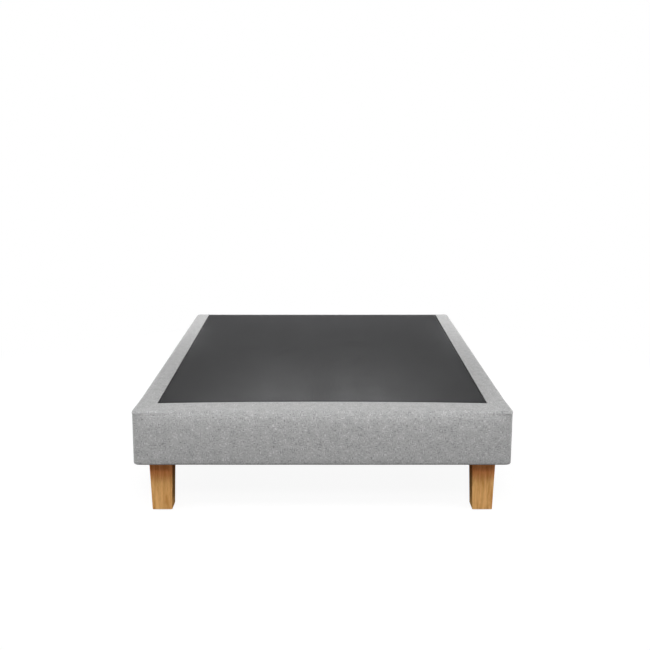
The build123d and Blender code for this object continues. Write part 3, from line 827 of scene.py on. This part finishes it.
# Staples. Steel staples hold the lining all round, about one every 45 mm, each a little askew.
# Only their crowns stand out below the cloth.
staple_crown, staple_leg, staple_bend, staple_askew = 0.010, 0.006, 0.0008, 0.16
staple_wire = 0.0005  # half its wire's thickness
path_mesh = bpy.data.meshes.new("lining_staples")
path_x, path_y = lining_high.x - staple_inset, lining_high.y - staple_inset
path_mesh.from_pydata([(-path_x, -path_y, lining_low.z), (path_x, -path_y, lining_low.z),
                       (path_x, path_y, lining_low.z), (-path_x, path_y, lining_low.z)],
                      [(0, 1), (1, 2), (2, 3), (3, 0)], [])
staples = bpy.data.objects.new("lining_staples", path_mesh)
bpy.context.scene.collection.objects.link(staples)
tree = bpy.data.node_groups.new("staples along a path", "GeometryNodeTree")
sockets = {}
for label, kind in (("Geometry", "NodeSocketGeometry"), ("Spacing", "NodeSocketFloat"),
                    ("Crown", "NodeSocketFloat"), ("Leg", "NodeSocketFloat"),
                    ("Wire", "NodeSocketFloat"), ("Bend", "NodeSocketFloat"),
                    ("Metal", "NodeSocketMaterial")):
    sockets[label] = tree.interface.new_socket(label, in_out="INPUT", socket_type=kind).identifier
tree.interface.new_socket("Geometry", in_out="OUTPUT", socket_type="NodeSocketGeometry")
given = add_node(tree, "NodeGroupInput").outputs
path = add_node(tree, "GeometryNodeMeshToCurve", {"Mesh": given["Geometry"]})
stops = add_node(tree, "GeometryNodeResampleCurve", {
    "Curve": path.outputs["Curve"], "Length": given["Spacing"],
}, mode="LENGTH")
wire_path = add_node(tree, "GeometryNodeCurvePrimitiveQuadrilateral", {
    "Width": given["Crown"], "Height": given["Leg"],
})
wire_bends = add_node(tree, "GeometryNodeFilletCurve", {
    "Curve": wire_path.outputs["Curve"], "Radius": given["Bend"],
})
wire_section = add_node(tree, "GeometryNodeCurvePrimitiveCircle", {
    "Resolution": 5, "Radius": given["Wire"],
})
staple_wire_mesh = add_node(tree, "GeometryNodeCurveToMesh", {
    "Curve": wire_bends.outputs["Curve"], "Profile Curve": wire_section.outputs["Curve"],
})
stood = add_node(tree, "GeometryNodeTransform", {
    "Geometry": staple_wire_mesh.outputs["Mesh"], "Rotation": (quarter, 0.0, 0.0),
    "Translation": (0.0, 0.0, staple_leg / 2 - staple_wire / 2),
})
along_path = add_node(tree, "FunctionNodeAlignRotationToVector", {
    "Vector": add_node(tree, "GeometryNodeInputTangent").outputs["Tangent"],
}, axis="X", pivot_axis="Z")
askew = add_node(tree, "FunctionNodeRandomValue", {
    "Min": (0.0, 0.0, -staple_askew), "Max": (0.0, 0.0, staple_askew), "Seed": 7,
}, data_type="FLOAT_VECTOR")
turned = add_node(tree, "FunctionNodeRotateRotation", {
    "Rotation": along_path.outputs["Rotation"], "Rotate By": askew.outputs["Value"],
})
placed = add_node(tree, "GeometryNodeInstanceOnPoints", {
    "Points": stops.outputs["Curve"], "Instance": stood.outputs["Geometry"],
    "Rotation": turned.outputs["Rotation"],
})
real = add_node(tree, "GeometryNodeRealizeInstances", {"Geometry": placed.outputs["Instances"]})
plated = add_node(tree, "GeometryNodeSetMaterial", {
    "Geometry": real.outputs["Geometry"], "Material": given["Metal"],
})
add_node(tree, "NodeGroupOutput", {"Geometry": plated.outputs["Geometry"]})
stapler = staples.modifiers.new("staples", "NODES")
stapler.node_group = tree
for label, value in (("Spacing", staple_spacing), ("Crown", staple_crown), ("Leg", staple_leg),
                     ("Wire", staple_wire), ("Bend", staple_bend), ("Metal", zinc)):
    stapler[sockets[label]] = value
baked(staples)
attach(staples, "root")


# Legs. Each is a square of pale orange hardwood, tapered on all four faces, oiled and screwed up
# against the base. The grain runs up the leg. Near the top, painted shade makes the wood darker
# and redder, where the base shades it.
leg_names = sorted(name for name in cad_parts
                   if name.startswith("leg_") and name.count("_") == 2)
beech = wood("oiled beech", 2, "#F1BC7A", "#CC8F4F", streak_mm=9.0, fleck_mm=1.2, roughness=0.48)
beech_tree = beech.node_tree
beech_base = beech_tree.nodes["Principled BSDF"].inputs["Base Color"]
beech_height = add_node(beech_tree, "ShaderNodeSeparateXYZ", {
    "Vector": add_node(beech_tree, "ShaderNodeTexCoord").outputs["Object"],
})
# Painted shade: the wood's colour is multiplied darker and redder towards the top of each leg.
shade_starts, shade_full = 0.100, 0.155
beech_top_shade = add_node(beech_tree, "ShaderNodeMapRange", {
    "Value": beech_height.outputs["Z"], "From Min": shade_starts, "From Max": shade_full,
}, interpolation_type="SMOOTHSTEP")
beech_painted_shade = add_node(beech_tree, "ShaderNodeMix", {
    0: beech_top_shade.outputs["Result"], 6: beech_base.links[0].from_socket, 7: linear("#EBC9C4"),
}, data_type="RGBA", blend_type="MULTIPLY")
beech_tree.links.new(beech_painted_shade.outputs[2], beech_base)
dress(beech, *leg_names)


# Glides. A moulded black plastic disc is nailed under each leg so that it slides and doesn't mark
# the floor. The mould's grain leaves it evenly dull, and is drawn coarser than the real 0.1 mm,
# so that it shows.
glide_grain_mm = 1.11
glide, glide_tree, glide_surface = new_finish("moulded black plastic")
glide_grain = add_node(glide_tree, "ShaderNodeTexNoise", {
    "Vector": add_node(glide_tree, "ShaderNodeTexCoord").outputs["Object"],
    "Scale": 1000 / glide_grain_mm, "Detail": 2.0,
})
glide_wear = add_node(glide_tree, "ShaderNodeMapRange", {
    "Value": glide_grain.outputs["Fac"], "To Min": 0.4, "To Max": 0.6,
})
glide_shader = add_node(glide_tree, "ShaderNodeBsdfPrincipled", {
    "Base Color": linear("#232323"), "Roughness": glide_wear.outputs["Result"],
})
glide_tree.links.new(glide_shader.outputs["BSDF"], glide_surface)
dress(glide, "leg_glides")


# Studio. The floor is pale, the light is large and soft, and the camera stands in front of the
# foot end, a little above the bed.
floor_reach = 40.0
floor_mesh = bpy.data.meshes.new("studio_floor")
floor_mesh.from_pydata([(-floor_reach, -floor_reach, 0), (floor_reach, -floor_reach, 0),
                        (floor_reach, floor_reach, 0), (-floor_reach, floor_reach, 0)],
                       [], [(0, 1, 2, 3)])
floor = bpy.data.objects.new("studio_floor", floor_mesh)
bpy.context.scene.collection.objects.link(floor)
floor_finish, floor_tree, floor_surface = new_finish("white studio floor")
# The camera and reflections see white, with a faint shadow round the bed. Other light meets a
# plain mid grey, which throws little back on the cloth.
floor_rays = add_node(floor_tree, "ShaderNodeLightPath")
floor_seen = add_node(floor_tree, "ShaderNodeMath", {
    0: floor_rays.outputs["Is Camera Ray"], 1: floor_rays.outputs["Is Glossy Ray"],
}, operation="MAXIMUM")
from_middle = add_node(floor_tree, "ShaderNodeVectorMath", {
    "Vector": add_node(floor_tree, "ShaderNodeTexCoord").outputs["Object"],
}, operation="LENGTH")
shadow_reach, white_reach, shadow_share, lit_share = 1.5, 2.6, 0.10, 0.16
far_share = add_node(floor_tree, "ShaderNodeMapRange", {
    "Value": from_middle.outputs["Value"], "From Min": shadow_reach, "From Max": white_reach,
})
floor_white = add_node(floor_tree, "ShaderNodeEmission", {"Strength": 1.0})
floor_lit = add_node(floor_tree, "ShaderNodeBsdfDiffuse", {"Color": (lit_share,) * 3 + (1.0,)})
floor_glow = add_node(floor_tree, "ShaderNodeEmission", {"Strength": 1.0 - shadow_share})
floor_pale = add_node(floor_tree, "ShaderNodeAddShader", {
    0: floor_lit.outputs["BSDF"], 1: floor_glow.outputs["Emission"],
})
floor_shown = add_node(floor_tree, "ShaderNodeMixShader", {
    0: far_share.outputs["Result"], 1: floor_pale.outputs["Shader"],
    2: floor_white.outputs["Emission"],
})
floor_plain = add_node(floor_tree, "ShaderNodeBsdfDiffuse", {"Color": linear("#707070")})
floor_shader = add_node(floor_tree, "ShaderNodeMixShader", {
    0: floor_seen.outputs[0], 1: floor_plain.outputs["BSDF"], 2: floor_shown.outputs["Shader"],
})
floor_tree.links.new(floor_shader.outputs["Shader"], floor_surface)
floor_mesh.materials.append(floor_finish)

# The same white shows behind the bed, and the world lights it only at a low, even level.
world = bpy.data.worlds.new("studio white")
bpy.context.scene.world = world
world.use_nodes = True
world.node_tree.nodes.clear()
world_rays = add_node(world.node_tree, "ShaderNodeLightPath")
world_seen = add_node(world.node_tree, "ShaderNodeMath", {
    0: world_rays.outputs["Is Camera Ray"], 1: world_rays.outputs["Is Glossy Ray"],
}, operation="MAXIMUM")
world_clear = add_node(world.node_tree, "ShaderNodeMath", {
    0: world_seen.outputs[0], 1: world_rays.outputs["Is Transmission Ray"],
}, operation="MAXIMUM")
ambient_level = 0.15
world_level = add_node(world.node_tree, "ShaderNodeMapRange", {
    "Value": world_clear.outputs[0], "To Min": ambient_level, "To Max": 1.0,
})
world_light = add_node(world.node_tree, "ShaderNodeBackground", {
    "Color": (1.0, 1.0, 1.0, 1.0), "Strength": world_level.outputs["Result"],
})
add_node(world.node_tree, "ShaderNodeOutputWorld", {
    "Surface": world_light.outputs["Background"],
})


def lamp(name, place, target, width, depth, watts):
    """A soft box that faces a target."""
    light = bpy.data.lights.new(name, "AREA")
    light.shape = "RECTANGLE"
    light.size = width
    light.size_y = depth
    light.energy = watts
    stand = bpy.data.objects.new(name, light)
    stand.location = place
    stand.rotation_euler = (Vector(target) - Vector(place)).to_track_quat("-Z", "Y").to_euler()
    bpy.context.scene.collection.objects.link(stand)


foot_face, head_deck = (0.0, -0.95, 0.3), (0.0, 0.8, 0.387)
lamp("far_high_lamp", (0.0, -14.0, 10.5), foot_face, width=3.0, depth=3.0, watts=610.0)
lamp("far_low_lamp", (0.0, -14.0, 3.5), foot_face, width=3.0, depth=2.0, watts=250.0)
lamp("front_lamp", (0.0, -3.0, 2.4), foot_face, width=1.2, depth=1.2, watts=5.2)
lamp("foot_lamp", (0.0, -1.5, 1.2), foot_face, width=2.6, depth=0.3, watts=10.0)
lamp("head_lamp", (0.0, 1.0, 1.6), head_deck, width=1.5, depth=0.6, watts=2.6)
lamp("low_head_lamp", (0.0, 1.1, 1.1), head_deck, width=2.0, depth=0.4, watts=5.8)
lamp("sheen_lamp", (0.0, 1.1, 1.3), foot_face, width=0.6, depth=0.3, watts=1.6)
lamp("behind_lamp", (0.0, 2.8, 0.30), (0.0, 0.95, 0.28), width=2.6, depth=0.3, watts=20.0)
for word, sign in (("left", -1), ("right", 1)):
    lamp(f"sheen_lamp_{word}", (sign * 0.25, 1.1, 1.3), (sign * 0.2, -0.8, 0.387),
         width=0.3, depth=0.3, watts=3.7)
    lamp(f"corner_lamp_{word}", (sign * 1.3, -1.5, 1.0), (sign * 0.6, -0.9, 0.387),
         width=0.6, depth=0.4, watts=0.9)
    lamp(f"side_lamp_{word}", (sign * 2.8, 0.2, 0.55), (sign * 0.675, 0.2, 0.30),
         width=2.2, depth=0.2, watts=36.0)

camera_data = bpy.data.cameras.new("camera")
photo_side, focal_pixels, off_centre_pixels, camera_pitch = 650, 993.8, 2.7, 0.19358
camera_data.lens = camera_data.sensor_width * focal_pixels / photo_side
camera_data.shift_x = off_centre_pixels / photo_side
camera = bpy.data.objects.new("camera", camera_data)
camera.location = (0.0, -4.3230, 1.3607)
camera.rotation_euler = (quarter - camera_pitch, 0.0, 0.0)
bpy.context.scene.collection.objects.link(camera)
bpy.context.scene.camera = camera
bpy.context.scene.view_settings.view_transform = "Standard"
